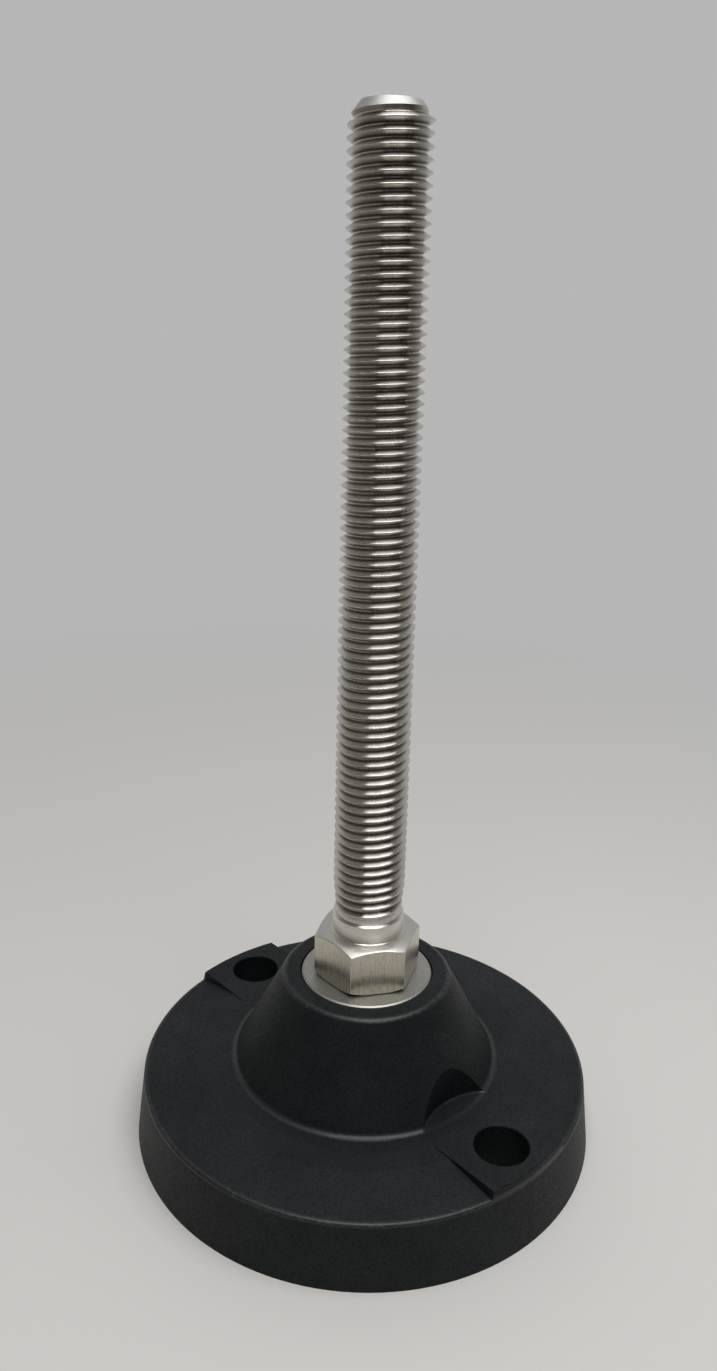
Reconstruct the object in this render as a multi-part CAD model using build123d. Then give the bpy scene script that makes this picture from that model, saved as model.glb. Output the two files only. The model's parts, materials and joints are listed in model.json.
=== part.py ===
from build123d import *
import os
from math import atan, radians, sqrt, tan

# Levelling foot: a moulded bolt-down base, a ball that tilts in the base's socket, and a
# threaded spindle that turns in the ball and is kept there by a retaining ring.
# Millimetres, +Z up, origin at the centre of the base's underside, bolt lugs along X.

# Base outline
base_radius = 63.5
rim_height = 17.8
rim_draft = 7.0
top_slope = 7.9
hub_height = 45.7
hub_flare = 13.45
lip_width = 4.55
rim_edge = 0.9
rim_edge_run_out = 0.18
foot_fillet = 2.0
collar_blend = 3.0
hub_edge = 1.6

# Bolt lugs
hole_diameter = 14.0
hole_edge_distance = 12.7
hole_edge = 0.25
pad_width = 26.0
pad_rise = 2.4
pad_draft = 12.0
pad_edge = 0.4
spot_face_radius = 20.0
spot_face_fillet = 0.6

# Underside of the base
rim_wall = 4.5
top_wall = 4.5
hub_wall = 5.0
cup_floor = 4.5
core_drop = 7.0
rib_count = 8
rib_thickness = 4.0
support_radius = 22.0
support_wall = 4.0
boss_wall = 4.5

# Ball
ball_face_radius = 17.65
ball_centre_depth = 5.9
ball_proud = 0.3
ball_edge = 0.3
socket_clearance = 0.15
mouth_gap = 0.6

# Spindle
hex_across_flats = 25.4
hex_height = 13.3
hex_top_face_radius = 12.07
hex_bottom_face_radius = 13.2
hex_chamfer_angle = 30.0
hex_seat_gap = 0.05
neck_radius = 9.55
neck_height = 5.3
neck_edge = 0.4
neck_fillet = 0.6
relief_radius = 8.85
relief_length = 1.7
thread_radius = 9.525
thread_length = 192.8
thread_end_chamfer = 1.4
shank_radius = 8.0
bore_clearance = 0.05
shank_end_length = 1.4
shank_end_chamfer = 1.0

# Retaining ring
ring_groove_depth = 0.4
clip_thickness = 1.0
clip_width = 2.2
clip_gap_angle = 50.0
clip_clearance = 0.05
clip_axial_play = 0.1

# Heights and radii that follow
rim_slope = tan(radians(rim_draft))
roof_slope = tan(radians(top_slope))
rim_top_radius = base_radius - rim_height * rim_slope
mouth_radius = ball_face_radius + mouth_gap
hub_top_radius = mouth_radius + lip_width
hub_foot_radius = hub_top_radius + hub_flare
pad_height = rim_height + pad_rise
hub_slope = hub_flare / (hub_height - pad_height)
hole_offset = base_radius - hole_edge_distance
hole_radius = hole_diameter / 2
collar_radius = rim_top_radius - pad_rise / roof_slope
foot_half_turn = (radians(90) - atan(hub_slope)) / 2
collar_room = collar_radius - hub_foot_radius
blend_length = min(collar_blend, collar_room / 2)
foot_radius = min(foot_fillet, (collar_room - blend_length) / tan(foot_half_turn))
ball_top = hub_height + ball_proud
ball_centre = ball_top - ball_centre_depth
ball_radius = sqrt(ball_face_radius**2 + ball_centre_depth**2)
socket_radius = ball_radius + socket_clearance
bore_radius = shank_radius + bore_clearance
groove_radius = shank_radius - ring_groove_depth
clip_inner_radius = groove_radius + clip_clearance
clip_outer_radius = clip_inner_radius + clip_width
clip_bottom_depth = sqrt(ball_radius**2 - clip_outer_radius**2)
groove_bottom = ball_centre - clip_bottom_depth - clip_clearance
groove_top = groove_bottom + clip_thickness + 2 * clip_clearance
ball_bottom = groove_top - clip_clearance + clip_axial_play
shank_end = groove_bottom - shank_end_length
hex_bottom = ball_top + hex_seat_gap
hex_top = hex_bottom + hex_height
neck_top = hex_top + neck_height
thread_start = neck_top + relief_length
spindle_top = thread_start + thread_length


def ring_of(points, radii=0):
    """Solid of revolution about Z from a closed outline of (radius, height) points."""
    outline = FilletPolyline(*points, radius=radii, close=True)
    return revolve(Plane.XZ * make_face(outline), Axis.Z)


def rib(start, end, angle):
    """Upright wall from one radius to another, in the direction of the angle."""
    wall = Pos((start + end) / 2, 0, hub_height / 2) * Box(end - start, rib_thickness, hub_height)
    return Rot(0, 0, angle) * wall


def outer_form():
    """Disc up to the pads' height and conical hub as one filled body."""
    points = [
        (0, 0),
        (base_radius, 0),
        (base_radius - pad_height * rim_slope, pad_height),
        (hub_foot_radius, pad_height),
        (hub_top_radius, hub_height),
        (0, hub_height),
    ]
    return ring_of(points, [0, 0, pad_edge, foot_radius, hub_edge, 0])


def pad_block():
    """Block across the base that keeps both bolt pads, with drafted sides."""
    side_slope = tan(radians(pad_draft))
    half_low = pad_width / 2 + pad_height * side_slope
    half_high = pad_width / 2 - pad_rise * side_slope
    top = pad_height + pad_rise
    section = Polyline(
        (-half_low, 0), (half_low, 0), (half_high, top), (-half_high, top), close=True
    )
    return extrude(Plane.YZ * make_face(section), 2 * base_radius, both=True)


def roof_cut():
    """Space above the top, which slopes from the hub's collar to the rim, but for the pads."""
    beyond = base_radius + pad_rise
    edge_foot = rim_height - 2 * rim_edge
    edge_foot_radius = base_radius - edge_foot * rim_slope + rim_edge_run_out
    space = ring_of(
        [
            (collar_radius - blend_length, pad_height),
            (collar_radius + blend_length, pad_height - blend_length * roof_slope),
            (rim_top_radius, rim_height),
            (edge_foot_radius, edge_foot),
            (beyond, edge_foot),
            (beyond, pad_height + pad_rise),
            (collar_radius - blend_length, pad_height + pad_rise),
        ],
        [0, 0, rim_edge, 0, 0, 0, 0],
    )
    return space - pad_block()


def lug_spot_face():
    """Room above the pad for a bolt's head and washer, cut into the hub round the hole's axis."""
    height = hub_height - pad_height
    points = [(0, 0), (spot_face_radius, 0), (spot_face_radius, height), (0, height)]
    return Pos(hole_offset, 0, pad_height) * ring_of(points, [0, spot_face_fillet, 0, 0])


def lug_hole():
    """Bolt hole with a broken upper edge."""
    beyond = hole_edge
    points = [
        (0, -beyond),
        (hole_radius, -beyond),
        (hole_radius, pad_height - hole_edge),
        (hole_radius + hole_edge + beyond, pad_height + beyond),
        (0, pad_height + beyond),
    ]
    return Pos(hole_offset, 0, 0) * ring_of(points)


def socket_cup():
    """Cup that holds the ball's socket, on a round support that stands on the ground."""
    support_inner = support_radius - support_wall
    floor_height = ball_centre - socket_radius - cup_floor
    return ring_of(
        [
            (support_inner, 0),
            (support_radius, 0),
            (support_radius, hub_height),
            (0, hub_height),
            (0, floor_height),
            (support_inner, floor_height),
        ]
    )


def underside_core():
    """Hollow under the skin, without the socket's cup, ribs and bolt bosses that stay."""
    core_top = ball_centre - core_drop
    wall_foot = base_radius - rim_wall
    roof = rim_height + rim_top_radius * roof_slope - top_wall
    cone = hub_top_radius + hub_height * hub_slope - hub_wall
    corner_height = (roof - wall_foot * roof_slope) / (1 - rim_slope * roof_slope)
    knee_height = pad_height - top_wall
    core = ring_of(
        [
            (0, 0),
            (wall_foot, 0),
            (wall_foot - corner_height * rim_slope, corner_height),
            (collar_radius, knee_height),
            (cone - knee_height * hub_slope, knee_height),
            (cone - core_top * hub_slope, core_top),
            (0, core_top),
        ]
    )
    stays = [socket_cup()]
    for i in range(rib_count):
        stays.append(rib(support_radius - support_wall / 2, base_radius, i * 360 / rib_count))
    seat_middle = (knee_height + hub_height) / 2
    for side in (1, -1):
        boss = Cylinder(hole_radius + boss_wall, hub_height)
        stays.append(Pos(side * hole_offset, 0, hub_height / 2) * boss)
        seat_wall = Cylinder(spot_face_radius + hub_wall, hub_height - knee_height)
        stays.append(Pos(side * hole_offset, 0, seat_middle) * seat_wall)
    return core - stays


def socket_space():
    """Spherical seat that snaps over the ball's equator, with a short round mouth."""
    mouth = Cylinder(mouth_radius, ball_centre_depth)
    mouth = Pos(0, 0, ball_centre + ball_centre_depth / 2) * mouth
    return Pos(0, 0, ball_centre) * Sphere(socket_radius) + mouth


def make_base():
    turned = Rot(0, 0, 180)
    body = outer_form() - roof_cut()
    body -= [lug_spot_face(), turned * lug_spot_face()]
    body -= underside_core()
    body -= [lug_hole(), turned * lug_hole()]
    return body - socket_space()


def make_ball():
    """Ball cut flat above and below, bored for the spindle's shank."""
    low_radius = sqrt(ball_radius**2 - (ball_centre - ball_bottom) ** 2)
    edge_depth = ball_centre_depth - ball_edge
    edge_radius = sqrt(ball_radius**2 - edge_depth**2)
    edge_height = ball_centre + edge_depth
    side = ThreePointArc(
        (low_radius, ball_bottom), (ball_radius, ball_centre), (edge_radius, edge_height)
    )
    rest = Polyline(
        (edge_radius, edge_height),
        (ball_face_radius - ball_edge, ball_top),
        (bore_radius, ball_top),
        (bore_radius, ball_bottom),
        (low_radius, ball_bottom),
    )
    return revolve(Plane.XZ * make_face(side + rest), Axis.Z)


def make_spindle():
    """Shank with ring groove, hexagon, neck, relief and threaded length in one turned piece."""
    shank = ring_of(
        [
            (0, shank_end),
            (shank_radius - shank_end_chamfer, shank_end),
            (shank_radius, shank_end + shank_end_chamfer),
            (shank_radius, groove_bottom),
            (groove_radius, groove_bottom),
            (groove_radius, groove_top),
            (shank_radius, groove_top),
            (shank_radius, hex_bottom + hex_height / 2),
            (0, hex_bottom + hex_height / 2),
        ]
    )
    stud_foot = hex_top - hex_height / 2
    stud_foot_radius = neck_radius + 2 * neck_fillet
    stud = ring_of(
        [
            (0, stud_foot),
            (stud_foot_radius, stud_foot),
            (stud_foot_radius, hex_top),
            (neck_radius, hex_top),
            (neck_radius, neck_top - neck_edge),
            (neck_radius - neck_edge, neck_top),
            (relief_radius, neck_top),
            (relief_radius, thread_start - (thread_radius - relief_radius)),
            (thread_radius, thread_start),
            (thread_radius, spindle_top - thread_end_chamfer),
            (thread_radius - thread_end_chamfer, spindle_top),
            (0, spindle_top),
        ],
        [0, 0, 0, neck_fillet, 0, 0, 0, 0, 0, 0, 0, 0],
    )
    return shank + hexagon() + stud


def hexagon():
    """Hexagon with corners on the X axis, turned to a cone at both ends."""
    chamfer_slope = tan(radians(hex_chamfer_angle))
    reach = hex_across_flats
    outline = RegularPolygon(hex_across_flats / 2, 6, major_radius=False)
    prism = Pos(0, 0, hex_bottom) * extrude(outline, hex_height)
    turned = ring_of(
        [
            (0, hex_bottom),
            (hex_bottom_face_radius, hex_bottom),
            (reach, hex_bottom + (reach - hex_bottom_face_radius) * chamfer_slope),
            (reach, hex_top - (reach - hex_top_face_radius) * chamfer_slope),
            (hex_top_face_radius, hex_top),
            (0, hex_top),
        ]
    )
    return prism & turned


def make_retaining_ring():
    """Open spring ring that sits in the shank's groove under the ball."""
    plan = Circle(clip_outer_radius) - Circle(clip_inner_radius)
    half_gap = clip_outer_radius * tan(radians(clip_gap_angle / 2))
    plan -= make_face(
        Polyline(
            (0, 0), (clip_outer_radius, half_gap), (clip_outer_radius, -half_gap), close=True
        )
    )
    return Pos(0, 0, groove_bottom + clip_clearance) * extrude(plan, clip_thickness)


os.makedirs("parts", exist_ok=True)
export_step(make_base(), "parts/base.step")
export_step(make_ball(), "parts/swivel_ball.step")
export_step(make_spindle(), "parts/spindle.step")
export_step(make_retaining_ring(), "parts/retaining_ring.step")
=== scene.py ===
import json
from math import atan2, cos, pi, radians, sin, tan

import bmesh
import bpy
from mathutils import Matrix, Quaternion, Vector


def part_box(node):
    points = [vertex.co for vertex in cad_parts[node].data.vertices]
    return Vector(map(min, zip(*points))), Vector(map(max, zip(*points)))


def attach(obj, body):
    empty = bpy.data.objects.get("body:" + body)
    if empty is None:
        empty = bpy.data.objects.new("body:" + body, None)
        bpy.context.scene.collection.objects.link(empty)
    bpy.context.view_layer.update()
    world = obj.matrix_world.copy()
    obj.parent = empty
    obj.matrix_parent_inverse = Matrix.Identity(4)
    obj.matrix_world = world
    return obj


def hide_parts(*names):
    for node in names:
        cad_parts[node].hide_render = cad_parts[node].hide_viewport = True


# Levelling foot: moulded base, ball and retaining ring keep their solids and get materials here;
# the spindle is replaced by a mesh that has the real thread. Metres, in the part's own frame.

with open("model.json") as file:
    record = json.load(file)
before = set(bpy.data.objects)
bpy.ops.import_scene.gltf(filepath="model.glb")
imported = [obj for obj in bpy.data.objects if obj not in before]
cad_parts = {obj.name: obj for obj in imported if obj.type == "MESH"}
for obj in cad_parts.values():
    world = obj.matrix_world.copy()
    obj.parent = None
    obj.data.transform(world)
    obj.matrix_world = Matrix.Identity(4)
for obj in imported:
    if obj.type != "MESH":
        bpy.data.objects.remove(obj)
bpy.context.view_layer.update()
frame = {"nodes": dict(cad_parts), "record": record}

mm = 0.001

# Sizes read from the frame
mounts = {mount["name"]: mount for mount in frame["record"]["mounts"]}
thread_radius = mounts["spindle_thread"]["dims"]["r_mm"] * mm
spindle_low, spindle_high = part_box("spindle")
_, ball_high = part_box("swivel_ball")
_, base_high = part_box("base")
spindle_bottom = spindle_low.z
spindle_top = spindle_high.z
hex_half_width = spindle_high.y
ball_top = ball_high.z
hub_top = base_high.z

# Spindle, as in the solid
hex_seat_gap = 0.05 * mm
hex_height = 13.3 * mm
hex_top_face_radius = 12.07 * mm
hex_bottom_face_radius = 13.2 * mm
hex_chamfer_slope = tan(radians(30))
neck_radius = 9.55 * mm
neck_height = 5.3 * mm
neck_edge = 0.4 * mm
relief_radius = 8.85 * mm
relief_length = 1.7 * mm
shank_radius = 8.0 * mm
shank_chamfer = 1.0 * mm
shank_end_length = 1.4 * mm
groove_depth = 0.4 * mm
groove_width = 1.1 * mm

# Spindle, details that differ from the solid and lie inside it
hex_seat_radius = 12.0 * mm
hex_seat_height = 0.3 * mm
hex_edge = 0.14 * mm
neck_fillet = 0.3 * mm
end_radius = 6.7 * mm
end_slope = 0.8

# Thread: its form, and how crest and root rise out of the relief
pitch = 2.54 * mm
flank_angle = radians(60)
crest_round = 0.22 * mm
root_round = 0.28 * mm
thread_phase = 0.62
run_out_radius = 9.0 * mm
run_out_rise = 0.3 * mm
run_out_start = 1.6 * mm
run_out_end = 7.6 * mm
root_rise = 1.2 * mm

# Fineness of the spindle's mesh
columns = 84
crest_steps = 6
root_steps = 4
spare_turns = 2
neck_fillet_steps = 5
hex_edge_steps = 2
weld_distance = 0.002 * mm
chamfer_margin = 0.001 * mm
softened_angle = radians(25)
sharp_angle = radians(32)
face_area_weight = 80

# Heights and radii that follow
hex_bottom = ball_top + hex_seat_gap
hex_lower_face = hex_bottom + hex_seat_height
hex_top = hex_bottom + hex_height
neck_top = hex_top + neck_height
thread_start = neck_top + relief_length
thread_depth = pitch / 2 * tan(flank_angle) - crest_round - root_round
root_radius = thread_radius - thread_depth
groove_bottom = spindle_bottom + shank_end_length

# Glossier rings on the base, as (radius, height), and how far the gloss reaches from them
hub_edge = (22.6 * mm, hub_top - 0.3 * mm)
rim_edge = (61.1 * mm, 17.7 * mm)
hub_foot = (36.5 * mm, 20.5 * mm)
edge_reach = 1.1 * mm

# Colours of the pieces, each pair from dark to pale
black = (0, 0, 0)
white = (1, 1, 1)
plastic_colours = ((0.0052, 0.0068, 0.0076), (0.0106, 0.013, 0.0142))
plastic_speck_tints = ((0.45, 0.45, 0.45), (1.6, 1.6, 1.6))
plastic_scuff_colours = (black, (0.035, 0.037, 0.039))
ball_colours = ((0.3, 0.294, 0.272), (0.47, 0.462, 0.432))
thread_colours = ((0.6, 0.57, 0.52), (0.7, 0.675, 0.63))
hex_colours = ((0.51, 0.473, 0.388), (0.73, 0.688, 0.585))
hex_pit_tints = ((0.3, 0.29, 0.27), white)
satin_colours = ((0.5, 0.485, 0.45), (0.66, 0.645, 0.605))
end_colours = ((0.37, 0.366, 0.357), (0.5, 0.494, 0.482))
turned_colours = ((0.72, 0.69, 0.62), (0.84, 0.81, 0.745))
ring_colours = ((0.3, 0.3, 0.29), (0.5, 0.5, 0.49))

# Painted shade in the thread's groove, darkest on the flanks just above the root: a tint from the
# root (0) to the crest (1)
groove_shade_stops = [
    (0.06, (0.85, 0.83, 0.8)),
    (0.1, (0.36, 0.33, 0.29)),
    (0.3, (0.42, 0.39, 0.35)),
    (0.6, white),
]

# Spans of noise values that the materials make use of
whole_span = (0, 1)
noise_span = (0.3, 0.7)
grain_span = (0.35, 0.65)
scratch_span = (0.5, 0.7)
brushing_span = (0.33, 0.67)
pit_span = (0.3, 0.42)

# Camera, its lens and sensor in millimetres
camera_place = Vector((185.12, -176.73, 215.25)) * mm
camera_aim = Vector((-2.8, -3.02, 128.2)) * mm
camera_roll = radians(1.39)
camera_lens = 28.27
camera_sensor = 36
camera_nearest = 10 * mm

# Floor and room
floor_radius = 8.0
floor_sides = 96
floor_fade_start = 0.12
floor_fade_end = 0.55
floor_colour = (0.6, 0.59, 0.565)
floor_roughness = 0.7
backdrop_colour = (0.47, 0.468, 0.47)
room_side_colour = (0.15, 0.148, 0.142)
room_front_colour = (0.05, 0.047, 0.043)

# The room's colour from straight behind the object (0) to straight behind the camera (1)
room_stops = [
    (0.2, backdrop_colour),
    (0.42, room_side_colour),
    (0.55, room_side_colour),
    (0.8, room_front_colour),
]

# Overhead panel: its edges as the camera sees them, measured from the object's axis
panel_left = -0.31
panel_right = 0.72
panel_back = -0.25
panel_front = 0.95
panel_height = 1.2
panel_radiance = 4.15

# Dark card: an arc round the object's axis, its angles measured from the camera's direction
card_colour = (0.02, 0.018, 0.016)
card_roughness = 0.9
card_distance = 0.5
card_low = 0.005
card_height = 0.35
card_from = radians(-24)
card_to = radians(80)
card_steps = 24


# Nodes

def add_node(tree, kind, **settings):
    """New node with its settings."""
    node = tree.nodes.new(kind)
    for name, value in settings.items():
        setattr(node, name, value)
    return node


def new_material(name):
    """Material, its node tree and its shader."""
    material = bpy.data.materials.new(name)
    material.use_nodes = True
    shader = material.node_tree.nodes["Principled BSDF"]
    return material, material.node_tree, shader


def new_metal(name):
    """As new_material, for bare metal."""
    material, tree, shader = new_material(name)
    shader.inputs["Metallic"].default_value = 1
    return material, tree, shader


def object_place(tree, scale=(1, 1, 1)):
    """Place on the object, in metres, stretched by the scale."""
    source = add_node(tree, "ShaderNodeTexCoord")
    mapping = add_node(tree, "ShaderNodeMapping")
    mapping.inputs["Scale"].default_value = scale
    tree.links.new(source.outputs["Object"], mapping.inputs["Vector"])
    return mapping.outputs["Vector"]


def section_place(tree):
    """Place in the half section through the upright axis: (radius, height, 0), and the radius."""
    parts = add_node(tree, "ShaderNodeSeparateXYZ")
    tree.links.new(object_place(tree), parts.inputs["Vector"])
    plan = add_node(tree, "ShaderNodeCombineXYZ")
    tree.links.new(parts.outputs["X"], plan.inputs["X"])
    tree.links.new(parts.outputs["Y"], plan.inputs["Y"])
    length = add_node(tree, "ShaderNodeVectorMath", operation="LENGTH")
    tree.links.new(plan.outputs["Vector"], length.inputs[0])
    section = add_node(tree, "ShaderNodeCombineXYZ")
    tree.links.new(length.outputs["Value"], section.inputs["X"])
    tree.links.new(parts.outputs["Z"], section.inputs["Y"])
    return section.outputs["Vector"], length.outputs["Value"]


def noise(tree, place, scale, detail, roughness):
    """Noise value at a place."""
    node = add_node(tree, "ShaderNodeTexNoise")
    node.inputs["Scale"].default_value = scale
    node.inputs["Detail"].default_value = detail
    node.inputs["Roughness"].default_value = roughness
    tree.links.new(place, node.inputs["Vector"])
    return node.outputs["Fac"]


def remap(tree, value, span, target):
    """Number that goes from one end of the target to the other as the value goes through the span."""
    node = add_node(tree, "ShaderNodeMapRange")
    node.inputs["From Min"].default_value, node.inputs["From Max"].default_value = span
    node.inputs["To Min"].default_value, node.inputs["To Max"].default_value = target
    tree.links.new(value, node.inputs["Value"])
    return node.outputs["Result"]


def ramp(tree, value, stops):
    """Colour along (place, colour) stops."""
    node = add_node(tree, "ShaderNodeValToRGB")
    elements = node.color_ramp.elements
    for _ in stops[2:]:
        elements.new(1)
    for element, (place, colour) in zip(elements, stops):
        element.position = place
        element.color = (*colour, 1)
    tree.links.new(value, node.inputs["Fac"])
    return node.outputs["Color"]


def blend(tree, value, span, colours):
    """Colour that goes from the first to the second as the value goes through the span."""
    return ramp(tree, value, list(zip(span, colours)))


def joined(tree, operation, first, second):
    """Two values joined by arithmetic."""
    node = add_node(tree, "ShaderNodeMath", operation=operation)
    tree.links.new(first, node.inputs[0])
    tree.links.new(second, node.inputs[1])
    return node.outputs["Value"]


def tinted(tree, first, second, mode="MULTIPLY"):
    """Two colours joined by a blend mode at full strength."""
    node = add_node(tree, "ShaderNodeMixRGB", blend_type=mode)
    node.inputs["Fac"].default_value = 1
    tree.links.new(first, node.inputs["Color1"])
    tree.links.new(second, node.inputs["Color2"])
    return node.outputs["Color"]


def near_ring(tree, section, ring):
    """1 on a ring round the axis, falling to 0 at the edge's reach."""
    node = add_node(tree, "ShaderNodeVectorMath", operation="DISTANCE")
    tree.links.new(section, node.inputs[0])
    node.inputs[1].default_value = (*ring, 0)
    return remap(tree, node.outputs["Value"], (0, edge_reach), (1, 0))


def bump(tree, shader, height, distance, strength):
    """Fine relief on the shader, from a height value."""
    node = add_node(tree, "ShaderNodeBump")
    node.inputs["Strength"].default_value = strength
    node.inputs["Distance"].default_value = distance
    tree.links.new(height, node.inputs["Height"])
    tree.links.new(node.outputs["Normal"], shader.inputs["Normal"])


def round_lay(tree, shader, amount):
    """Fine tool marks that run round the upright axis; the highlight spreads across them."""
    quarter_turn = 0.25
    tangent = add_node(tree, "ShaderNodeTangent", direction_type="RADIAL", axis="Z")
    tree.links.new(tangent.outputs["Tangent"], shader.inputs["Tangent"])
    shader.inputs["Anisotropic"].default_value = amount
    shader.inputs["Anisotropic Rotation"].default_value = quarter_turn


def show_mixed(tree, share, first, second, output):
    """Output shows the first shader, and the second by its share."""
    mix = add_node(tree, "ShaderNodeMixShader")
    tree.links.new(share, mix.inputs["Fac"])
    tree.links.new(first, mix.inputs[1])
    tree.links.new(second, mix.inputs[2])
    tree.links.new(mix.outputs["Shader"], output.inputs["Surface"])


# Materials

def base_plastic():
    """Black moulded plastic: fine grain, faint mottle, glossier and scuffed on its rounded edges."""
    material, tree, shader = new_material("base_plastic")
    place = object_place(tree)
    section, _ = section_place(tree)
    mottle = noise(tree, place, scale=70, detail=5, roughness=0.6)
    grain = noise(tree, place, scale=1700, detail=4, roughness=0.75)
    scratches = noise(tree, place, scale=900, detail=4, roughness=0.7)
    at_hub = near_ring(tree, section, hub_edge)
    at_rim = near_ring(tree, section, rim_edge)
    edges = joined(tree, "MAXIMUM", at_hub, at_rim)
    glossy = joined(tree, "MAXIMUM", edges, near_ring(tree, section, hub_foot))
    scuffs = joined(tree, "MULTIPLY", edges, remap(tree, scratches, scratch_span, whole_span))
    plain = blend(tree, mottle, noise_span, plastic_colours)
    specks = blend(tree, grain, grain_span, plastic_speck_tints)
    worn = blend(tree, scuffs, whole_span, plastic_scuff_colours)
    colour = tinted(tree, tinted(tree, plain, specks), worn, mode="ADD")
    roughness = remap(tree, grain, grain_span, (0.62, 0.44))
    coat = remap(tree, glossy, (0, 0.7), (0, 0.5))
    tree.links.new(colour, shader.inputs["Base Color"])
    tree.links.new(roughness, shader.inputs["Roughness"])
    tree.links.new(coat, shader.inputs["Coat Weight"])
    shader.inputs["Coat Roughness"].default_value = 0.36
    shader.inputs["Specular IOR Level"].default_value = 0.18
    bump(tree, shader, grain, distance=0.05 * mm, strength=1)
    return material


def ball_steel():
    """Matt steel face, speckled."""
    material, tree, shader = new_metal("ball_steel")
    speckle = noise(tree, object_place(tree), scale=2200, detail=4, roughness=0.7)
    colour = blend(tree, speckle, noise_span, ball_colours)
    roughness = remap(tree, speckle, noise_span, (0.42, 0.55))
    tree.links.new(colour, shader.inputs["Base Color"])
    tree.links.new(roughness, shader.inputs["Roughness"])
    bump(tree, shader, speckle, distance=0.03 * mm, strength=0.6)
    return material


def thread_steel():
    """Rolled stainless thread: marks run round it, and painted shade darkens its flanks deep in the
    groove.
    """
    material, tree, shader = new_metal("thread_steel")
    _, radius = section_place(tree)
    stain = noise(tree, object_place(tree), scale=120, detail=3, roughness=0.5)
    steel = blend(tree, stain, noise_span, thread_colours)
    height = remap(tree, radius, (root_radius, thread_radius), whole_span)
    # Painted shade: the steel is tinted darker deep in the thread's groove.
    colour = tinted(tree, steel, ramp(tree, height, groove_shade_stops))
    roughness = remap(tree, stain, noise_span, (0.25, 0.3))
    tree.links.new(colour, shader.inputs["Base Color"])
    tree.links.new(roughness, shader.inputs["Roughness"])
    round_lay(tree, shader, amount=0.97)
    return material


def hex_steel():
    """Satin hexagon sides: upright brushing and small pits."""
    material, tree, shader = new_metal("hex_steel")
    upright = object_place(tree, scale=(1, 1, 0.03))
    streaks = noise(tree, upright, scale=4400, detail=3, roughness=0.6)
    pits = noise(tree, object_place(tree), scale=2600, detail=3, roughness=0.6)
    brushed = blend(tree, streaks, brushing_span, hex_colours)
    colour = tinted(tree, brushed, blend(tree, pits, pit_span, hex_pit_tints))
    roughness = remap(tree, streaks, noise_span, (0.26, 0.31))
    tree.links.new(colour, shader.inputs["Base Color"])
    tree.links.new(roughness, shader.inputs["Roughness"])
    bump(tree, shader, streaks, distance=0.004 * mm, strength=0.5)
    return material


def satin_steel(name, colours, roughness):
    """Finely speckled steel between two colours, its roughness uneven by a tenth."""
    material, tree, shader = new_metal(name)
    speckle = noise(tree, object_place(tree), scale=2600, detail=3, roughness=0.6)
    colour = blend(tree, speckle, noise_span, colours)
    uneven = remap(tree, speckle, noise_span, (0.9 * roughness, 1.1 * roughness))
    tree.links.new(colour, shader.inputs["Base Color"])
    tree.links.new(uneven, shader.inputs["Roughness"])
    return material


def turned_steel():
    """Turned faces: fine rings round the axis."""
    material, tree, shader = new_metal("turned_steel")
    section, _ = section_place(tree)
    rings = noise(tree, section, scale=5000, detail=2, roughness=0.6)
    colour = blend(tree, rings, noise_span, turned_colours)
    roughness = remap(tree, rings, noise_span, (0.24, 0.32))
    tree.links.new(colour, shader.inputs["Base Color"])
    tree.links.new(roughness, shader.inputs["Roughness"])
    round_lay(tree, shader, amount=0.9)
    return material


def ring_steel():
    """Plain spring steel."""
    material, tree, shader = new_metal("ring_steel")
    stain = noise(tree, object_place(tree), scale=900, detail=3, roughness=0.6)
    tree.links.new(blend(tree, stain, whole_span, ring_colours), shader.inputs["Base Color"])
    shader.inputs["Roughness"].default_value = 0.4
    return material


def dress(node_name, material):
    """Gives a solid its material."""
    slots = frame["nodes"][node_name].data.materials
    slots.clear()
    slots.append(material)


# Pieces

def new_piece(name, bm, materials):
    """Object in the scene, made from the bmesh, which is used up."""
    mesh = bpy.data.meshes.new(name)
    bm.to_mesh(mesh)
    bm.free()
    for material in materials:
        mesh.materials.append(material)
    piece = bpy.data.objects.new(name, mesh)
    bpy.context.scene.collection.objects.link(piece)
    return piece


# Spindle mesh, its material slots in the order of make_spindle's list

thread_slot, hex_slot, satin_slot, end_slot, turned_slot = range(5)


def thread_profile():
    """One pitch of the thread: (share of the pitch, radius) points, crest and root as arcs."""
    points = []
    for step in range(crest_steps + 1):
        turn = flank_angle * (2 * step / crest_steps - 1)
        points.append((crest_round * sin(turn), thread_radius - crest_round * (1 - cos(turn))))
    for step in range(root_steps + 1):
        turn = flank_angle * (1 - 2 * step / root_steps)
        along = pitch / 2 - root_round * sin(turn)
        points.append((along, root_radius + root_round * (1 - cos(turn))))
    return [(along / pitch, radius) for along, radius in points]


def between(value, points):
    """Straight-line reading of a list of (place, value) points."""
    last_place, last_value = points[0]
    if value <= last_place:
        return last_value
    for place, reading in points[1:]:
        if value <= place:
            share = (value - last_place) / (place - last_place)
            return last_value + share * (reading - last_value)
        last_place, last_value = place, reading
    return last_value


def end_cone_radius(height):
    """Radius of the cone at the spindle's upper end."""
    return end_radius + (spindle_top - height) * end_slope


def thread_radius_at(turn_share, height, closed_profile):
    """Radius of the thread's surface, with the chamfered end and the run-out at the neck."""
    along = (height - thread_start) / pitch - turn_share + thread_phase
    radius = between(along % 1.0, closed_profile)
    above = height - thread_start
    crest_points = [
        (0, relief_radius),
        (run_out_rise, run_out_radius),
        (run_out_start, run_out_radius),
        (run_out_end, thread_radius),
    ]
    crest = between(above, crest_points)
    root = between(above, [(0, relief_radius), (root_rise, root_radius)])
    return min(max(radius, root), crest, end_cone_radius(height))


def on_end_cone(place):
    """Whether a place lies on the cone at the spindle's upper end."""
    return place.xy.length > end_cone_radius(place.z) - chamfer_margin


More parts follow.
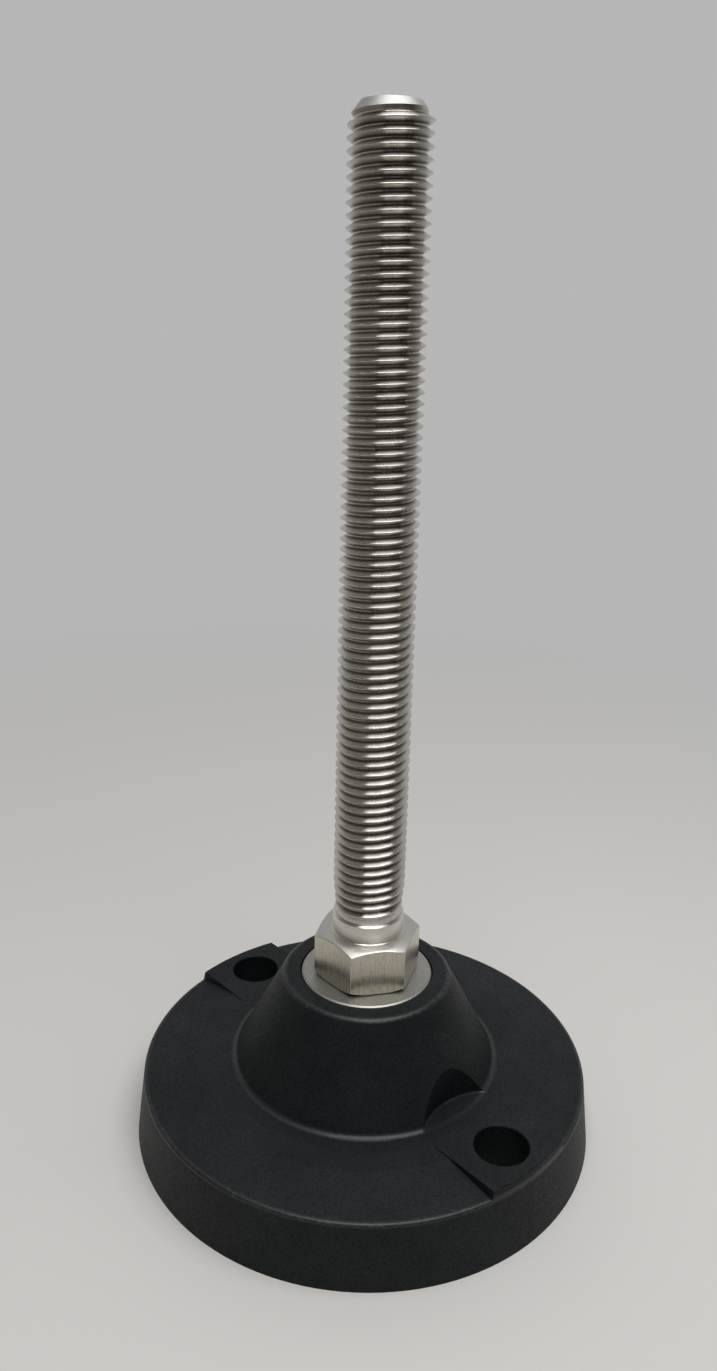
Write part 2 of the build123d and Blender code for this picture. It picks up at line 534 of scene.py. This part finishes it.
def thread_sheet(bm):
    """Helical sheet from the neck's top to the spindle's end, one turn of columns wide.

    Its spare turns below and above are squeezed flat on the ends.
    """
    profile = thread_profile()
    first_share, first_radius = profile[0]
    last_share, last_radius = profile[-1]
    closed_profile = [(last_share - 1, last_radius), *profile, (1 + first_share, first_radius)]
    turns = int((spindle_top - neck_top) / pitch) + 1
    levels = []
    for turn in range(-spare_turns, turns + spare_turns):
        levels.extend(turn + share for share, _ in profile)
    grid = []
    for column in range(columns + 1):
        turn_share = column / columns
        angle = 2 * pi * turn_share
        strip = []
        for level in levels:
            height = thread_start + (level + turn_share - thread_phase) * pitch
            height = min(max(height, neck_top), spindle_top)
            radius = thread_radius_at(turn_share, height, closed_profile)
            strip.append(bm.verts.new((radius * cos(angle), radius * sin(angle), height)))
        grid.append(strip)
    for left, right in zip(grid, grid[1:]):
        for row in range(len(levels) - 1):
            corners = (left[row], right[row], right[row + 1], left[row + 1])
            face = bm.faces.new(corners)
            at_end = all(on_end_cone(corner.co) for corner in corners)
            face.material_index = end_slot if at_end else thread_slot


def hexagon_radius(angle):
    """The hexagon's reach from the axis at an angle; its first corner lies at angle 0."""
    side = pi / 3
    return hex_half_width / cos(angle % side - side / 2)


def circle(radius, height):
    """Ring of (radius, height) at each column."""
    return [(radius, height)] * columns


def hexagon_rings():
    """The hexagon's rings: lower face, its sides' lower and upper ends, upper face."""
    lower_face = []
    side_low = []
    side_high = []
    for column in range(columns):
        reach = hexagon_radius(2 * pi * column / columns)
        low = hex_lower_face + max(0, reach - hex_bottom_face_radius) * hex_chamfer_slope
        high = hex_top - (reach - hex_top_face_radius) * hex_chamfer_slope
        lower_face.append((min(reach, hex_bottom_face_radius), hex_lower_face))
        side_low.append((reach, low))
        side_high.append((reach, high))
    return lower_face, side_low, side_high, circle(hex_top_face_radius, hex_top)


def seat_rings():
    """Rings of the low seat that the hexagon stands on."""
    return [
        circle(shank_radius, hex_bottom),
        circle(hex_seat_radius, hex_bottom),
        circle(hex_seat_radius, hex_lower_face),
    ]


def neck_rings():
    """The neck's rings, from its hollow foot on the hexagon to the relief."""
    rings = []
    for step in range(neck_fillet_steps + 1):
        turn = pi / 2 * step / neck_fillet_steps
        radius = neck_radius + neck_fillet * (1 - sin(turn))
        rings.append(circle(radius, hex_top + neck_fillet * (1 - cos(turn))))
    rings.append(circle(neck_radius, neck_top - neck_edge))
    rings.append(circle(neck_radius - neck_edge, neck_top))
    rings.append(circle(relief_radius, neck_top))
    return rings


def shank_rings():
    """The shank's rings from its lower end to the hexagon, with the retaining ring's groove."""
    groove_radius = shank_radius - groove_depth
    groove_top = groove_bottom + groove_width
    return [
        circle(shank_radius - shank_chamfer, spindle_bottom),
        circle(shank_radius, spindle_bottom + shank_chamfer),
        circle(shank_radius, groove_bottom),
        circle(groove_radius, groove_bottom),
        circle(groove_radius, groove_top),
        circle(shank_radius, groove_top),
        circle(shank_radius, hex_bottom),
    ]


def lathe(bm, rings, slot):
    """Faces between rings that follow one another, in the material slot; the rings' corners."""
    made = []
    for ring in rings:
        verts = []
        for column, (radius, height) in enumerate(ring):
            angle = 2 * pi * column / columns
            verts.append(bm.verts.new((radius * cos(angle), radius * sin(angle), height)))
        made.append(verts)
    for low, high in zip(made, made[1:]):
        for column in range(columns):
            after = (column + 1) % columns
            face = bm.faces.new((low[column], low[after], high[after], high[column]))
            face.material_index = slot
    return made


def close_spindle(bm):
    """Welds the stretches together, closes the upper end and turns the faces outwards."""
    bmesh.ops.remove_doubles(bm, verts=bm.verts, dist=weld_distance)
    open_edges = [edge for edge in bm.edges if edge.is_boundary]
    cap = bmesh.ops.contextual_create(bm, geom=open_edges)
    for face in cap["faces"]:
        face.material_index = turned_slot
    bmesh.ops.recalc_face_normals(bm, faces=bm.faces)


def soften_hexagon(bm):
    """Rounds the hexagon's upright edges and the edges of its upper chamfer."""
    middle = (hex_bottom + hex_top) / 2
    least_radius = (hex_top_face_radius + hex_half_width) / 2
    edges = []
    for edge in bm.edges:
        ends = [vert.co for vert in edge.verts]
        on_hexagon = middle < max(end.z for end in ends) <= hex_top
        outside = min(end.xy.length for end in ends) > least_radius
        if on_hexagon and outside and edge.calc_face_angle() > softened_angle:
            edges.append(edge)
    round_profile = 0.5
    bmesh.ops.bevel(
        bm,
        geom=edges,
        offset=hex_edge,
        segments=hex_edge_steps,
        profile=round_profile,
        affect="EDGES",
    )


def make_spindle():
    """Spindle with its real thread, in place of the plain solid."""
    bm = bmesh.new()
    thread_sheet(bm)
    shank = lathe(bm, shank_rings(), turned_slot)
    lower_end = bm.faces.new(list(reversed(shank[0])))
    lower_end.material_index = turned_slot
    lower_face, side_low, side_high, upper_face = hexagon_rings()
    neck = neck_rings()
    lathe(bm, [*seat_rings(), lower_face, side_low], turned_slot)
    lathe(bm, [side_low, side_high], hex_slot)
    lathe(bm, [side_high, upper_face, neck[0]], satin_slot)
    lathe(bm, neck, turned_slot)
    close_spindle(bm)
    soften_hexagon(bm)
    for face in bm.faces:
        face.smooth = True
    materials = [
        thread_steel(),
        hex_steel(),
        satin_steel("satin_steel", satin_colours, roughness=0.4),
        satin_steel("end_steel", end_colours, roughness=0.55),
        turned_steel(),
    ]
    piece = new_piece("threaded_spindle", bm, materials)
    piece.data.set_sharp_from_angle(angle=sharp_angle)
    normals = piece.modifiers.new("face_normals", "WEIGHTED_NORMAL")
    normals.keep_sharp = True
    normals.weight = face_area_weight
    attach(piece, "spindle")
    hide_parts("spindle")


# Stage

def add_stage(name, bm, material):
    """Piece for the stage, not attached to any of the object's bodies."""
    piece = new_piece(name, bm, [material])
    return piece


def make_floor():
    """Round pale floor that fades into the background far from the object."""
    material, tree, shader = new_material("floor_paint")
    shader.inputs["Base Color"].default_value = (*floor_colour, 1)
    shader.inputs["Roughness"].default_value = floor_roughness
    distance = add_node(tree, "ShaderNodeVectorMath", operation="LENGTH")
    tree.links.new(object_place(tree), distance.inputs[0])
    far = remap(tree, distance.outputs["Value"], (floor_fade_start, floor_fade_end), whole_span)
    path = add_node(tree, "ShaderNodeLightPath")
    seen = joined(tree, "MAXIMUM", path.outputs["Is Camera Ray"], path.outputs["Is Glossy Ray"])
    faded = joined(tree, "MULTIPLY", far, seen)
    backdrop = add_node(tree, "ShaderNodeEmission")
    backdrop.inputs["Color"].default_value = (*backdrop_colour, 1)
    output = tree.nodes["Material Output"]
    show_mixed(tree, faded, shader.outputs["BSDF"], backdrop.outputs["Emission"], output)
    bm = bmesh.new()
    bmesh.ops.create_circle(bm, cap_ends=True, radius=floor_radius, segments=floor_sides)
    add_stage("floor", bm, material)


def horizontal_axes():
    """Level directions from the object towards the camera and to the camera's right."""
    toward = Vector((camera_place.x, camera_place.y, 0)).normalized()
    return toward, Vector((-toward.y, toward.x, 0))


def make_world():
    """Room with the pale backdrop behind the object, darker at the sides and towards the camera.

    The camera itself sees the backdrop's grey on all sides.
    """
    world = bpy.data.worlds.new("studio")
    bpy.context.scene.world = world
    world.use_nodes = True
    tree = world.node_tree
    toward, _ = horizontal_axes()
    source = add_node(tree, "ShaderNodeTexCoord")
    facing = add_node(tree, "ShaderNodeVectorMath", operation="DOT_PRODUCT")
    tree.links.new(source.outputs["Generated"], facing.inputs[0])
    facing.inputs[1].default_value = toward
    share = remap(tree, facing.outputs["Value"], (-1, 1), whole_span)
    room = tree.nodes["Background"]
    tree.links.new(ramp(tree, share, room_stops), room.inputs["Color"])
    backdrop = add_node(tree, "ShaderNodeBackground")
    backdrop.inputs["Color"].default_value = (*backdrop_colour, 1)
    seen = add_node(tree, "ShaderNodeLightPath").outputs["Is Camera Ray"]
    output = tree.nodes["World Output"]
    show_mixed(tree, seen, room.outputs["Background"], backdrop.outputs["Background"], output)


def make_overhead_panel():
    """Long soft panel over the object, square to the camera."""
    toward, right = horizontal_axes()
    width = panel_right - panel_left
    length = panel_front - panel_back
    lamp = bpy.data.lights.new("overhead_panel", "AREA")
    lamp.shape = "RECTANGLE"
    lamp.size = width
    lamp.size_y = length
    lamp.energy = panel_radiance * pi * width * length
    panel = bpy.data.objects.new("overhead_panel", lamp)
    aside = right * (panel_left + panel_right) / 2
    ahead = toward * (panel_back + panel_front) / 2
    panel.location = aside + ahead + Vector((0, 0, panel_height))
    panel.rotation_euler.z = atan2(right.y, right.x)
    bpy.context.scene.collection.objects.link(panel)


def make_dark_card():
    """Dark curved card on the camera's side that only shows as a reflection in the steel."""
    material, _, shader = new_material("dark_card")
    shader.inputs["Base Color"].default_value = (*card_colour, 1)
    shader.inputs["Roughness"].default_value = card_roughness
    toward, _ = horizontal_axes()
    middle = atan2(toward.y, toward.x)
    bm = bmesh.new()
    rows = []
    for step in range(card_steps + 1):
        share = step / card_steps
        angle = middle + card_from + (card_to - card_from) * share
        foot = Vector((card_distance * cos(angle), card_distance * sin(angle), card_low))
        top = foot + Vector((0, 0, card_height))
        rows.append((bm.verts.new(foot), bm.verts.new(top)))
    for (low, high), (next_low, next_high) in zip(rows, rows[1:]):
        bm.faces.new((low, next_low, next_high, high))
    card = add_stage("dark_card", bm, material)
    card.visible_camera = False
    card.visible_diffuse = False
    card.visible_shadow = False


def make_camera():
    """Camera at the photograph's viewing angle."""
    data = bpy.data.cameras.new("camera")
    data.lens = camera_lens
    data.sensor_width = camera_sensor
    data.clip_start = camera_nearest
    camera = bpy.data.objects.new("camera", data)
    camera.location = camera_place
    camera.rotation_mode = "QUATERNION"
    turn = (camera_aim - camera_place).to_track_quat("-Z", "Y")
    camera.rotation_quaternion = turn @ Quaternion((0, 0, 1), camera_roll)
    bpy.context.scene.collection.objects.link(camera)
    bpy.context.scene.camera = camera


dress("base", base_plastic())
dress("swivel_ball", ball_steel())
dress("retaining_ring", ring_steel())
make_spindle()
make_floor()
make_world()
make_overhead_panel()
make_dark_card()
make_camera()
bpy.context.scene.view_settings.view_transform = "Standard"
